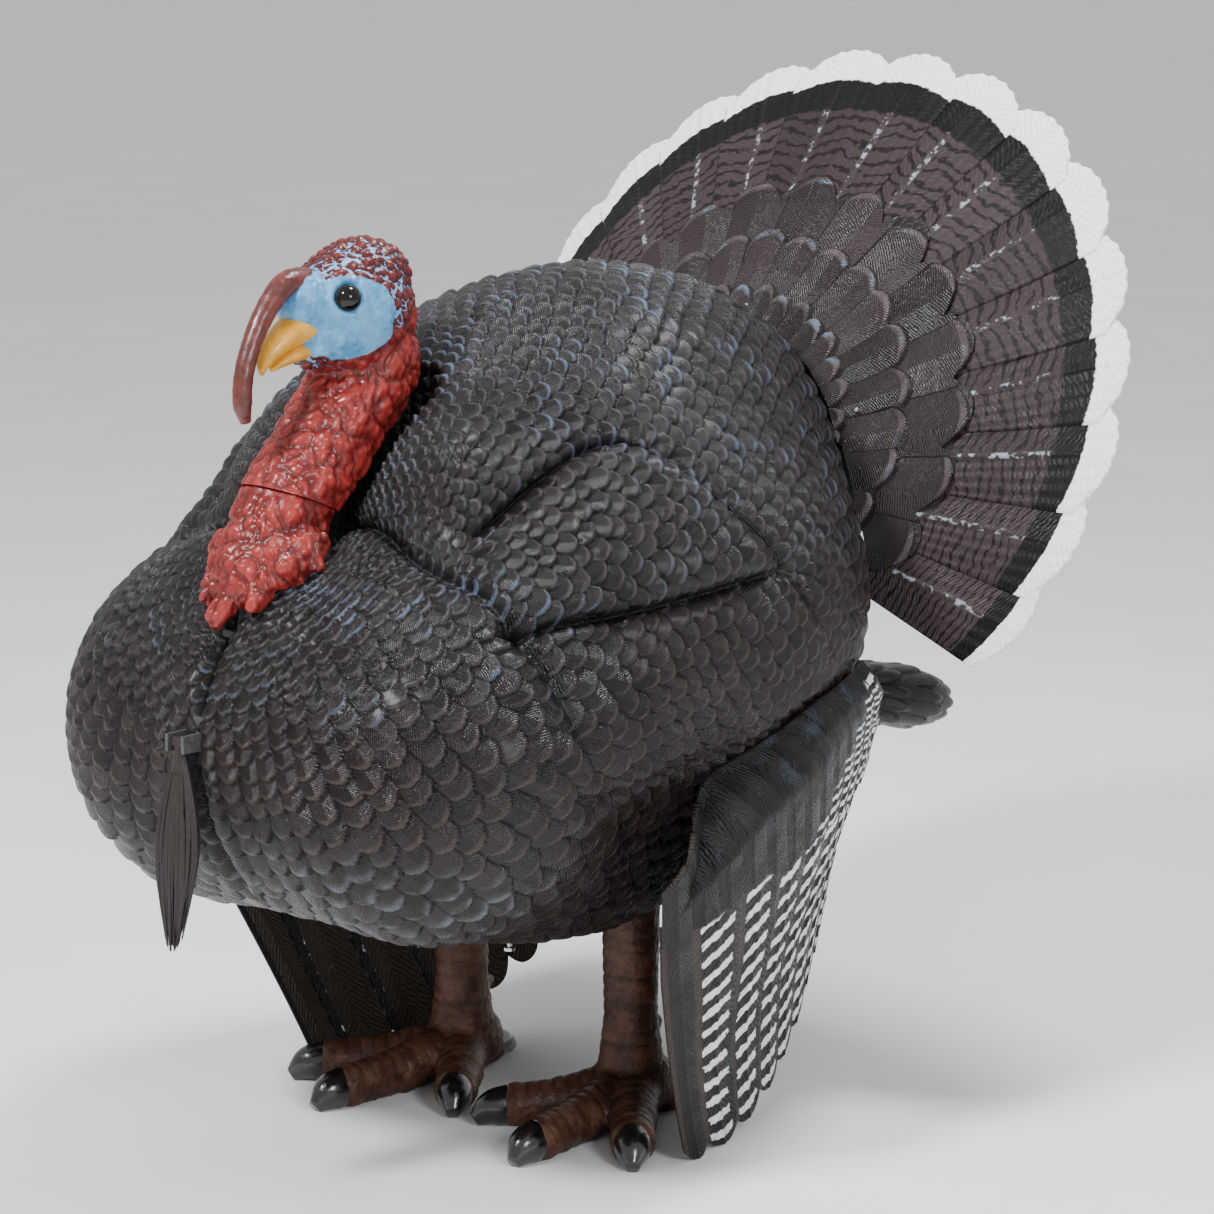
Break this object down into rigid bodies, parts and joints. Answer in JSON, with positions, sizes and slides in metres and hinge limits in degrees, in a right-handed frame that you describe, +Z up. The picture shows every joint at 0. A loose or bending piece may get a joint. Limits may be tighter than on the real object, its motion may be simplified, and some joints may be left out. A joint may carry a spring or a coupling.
{
  "type": "turkey decoy",
  "caption": "Moulded strutting tom turkey decoy with a turning head, a tilting tail fan, a swinging beard, dropped wings, standing feet and a stake socket in the belly.",
  "frame": {"origin": "on the ground, under the middle of the whole bird's bounding box", "axes": "+Z up; the bird faces -Y; +X is the bird's left"},
  "size_m": [0.5594, 0.7339, 0.7013],
  "materials": {
    "feather_brown": "moulded body feathers, dark brown paint with a blue-grey dry-brushed sheen",
    "wing_slate": "moulded flight feathers, dark slate paint with ragged white bars",
    "tail_brown": "moulded tail feathers, mauve-brown paint with dark wavy bars, a black band and white tips",
    "skin_red": "moulded bare skin, glossy red and sky-blue paint",
    "leg_brown": "moulded legs, reddish-brown paint, glossy black claws",
    "eye_black": "glossy black",
    "beard_black": "moulded bristles, brown-black",
    "inner_plastic": "unpainted dark grey moulding",
    "plated_steel": "zinc-plated steel"
  },
  "bodies": {
    "decoy_body": {"beard_hanger": "inner_plastic", "beard_pin": "plated_steel", "belly_chassis": "inner_plastic", "body_shell_left": "feather_brown", "body_shell_right": "feather_brown", "bracket_backing_plate": "plated_steel", "bracket_screw_1": "plated_steel", "bracket_screw_2": "plated_steel", "chassis_screw_1": "plated_steel", "chassis_screw_2": "plated_steel", "chassis_screw_3": "plated_steel", "chassis_screw_4": "plated_steel", "collar_screw_1": "plated_steel", "collar_screw_2": "plated_steel", "fan_bracket": "inner_plastic", "fan_pivot_pin": "plated_steel", "leg_left": "leg_brown", "leg_nut_left": "plated_steel", "leg_nut_right": "plated_steel", "leg_right": "leg_brown", "leg_rod_left": "plated_steel", "leg_rod_right": "plated_steel", "leg_washer_left": "plated_steel", "leg_washer_right": "plated_steel", "neck_bib": "skin_red", "neck_collar": "inner_plastic", "pivot_clip_left": "plated_steel", "pivot_clip_right": "plated_steel", "stake_socket": "inner_plastic", "tuft_push_nut_1": "plated_steel", "tuft_push_nut_2": "plated_steel", "undertail_coverts": "feather_brown", "wing_left": "wing_slate", "wing_push_nut_1": "plated_steel", "wing_push_nut_2": "plated_steel", "wing_push_nut_3": "plated_steel", "wing_push_nut_4": "plated_steel", "wing_right": "wing_slate"},
    "head": {"head_and_neck": "skin_red", "snood": "skin_red", "eye_left": "eye_black", "eye_right": "eye_black", "head_wave_washer": "plated_steel", "head_retainer": "inner_plastic"},
    "fan": {"tail_fan": "tail_brown", "upper_tail_coverts": "tail_brown", "fan_hub": "inner_plastic", "fan_screw_1": "plated_steel", "fan_screw_2": "plated_steel", "fan_screw_3": "plated_steel"},
    "beard": {"beard": "beard_black", "beard_clip": "beard_black"}
  },
  "joints": [
    {"name": "head_turn", "type": "hinge", "parent": "decoy_body", "child": "head", "pos_m": [0, -0.2516, 0.45], "axis": [0, 0.3746, 0.9272], "range_deg": [-20, 20]},
    {"name": "fan_tilt", "type": "hinge", "parent": "decoy_body", "child": "fan", "pos_m": [0, 0.2444, 0.345], "axis": [-1, 0, 0], "range_deg": [0, 35]},
    {"name": "beard_swing", "type": "hinge", "parent": "decoy_body", "child": "beard", "pos_m": [0, -0.3526, 0.304], "axis": [-1, 0, 0], "range_deg": [0, 60]}
  ]
}
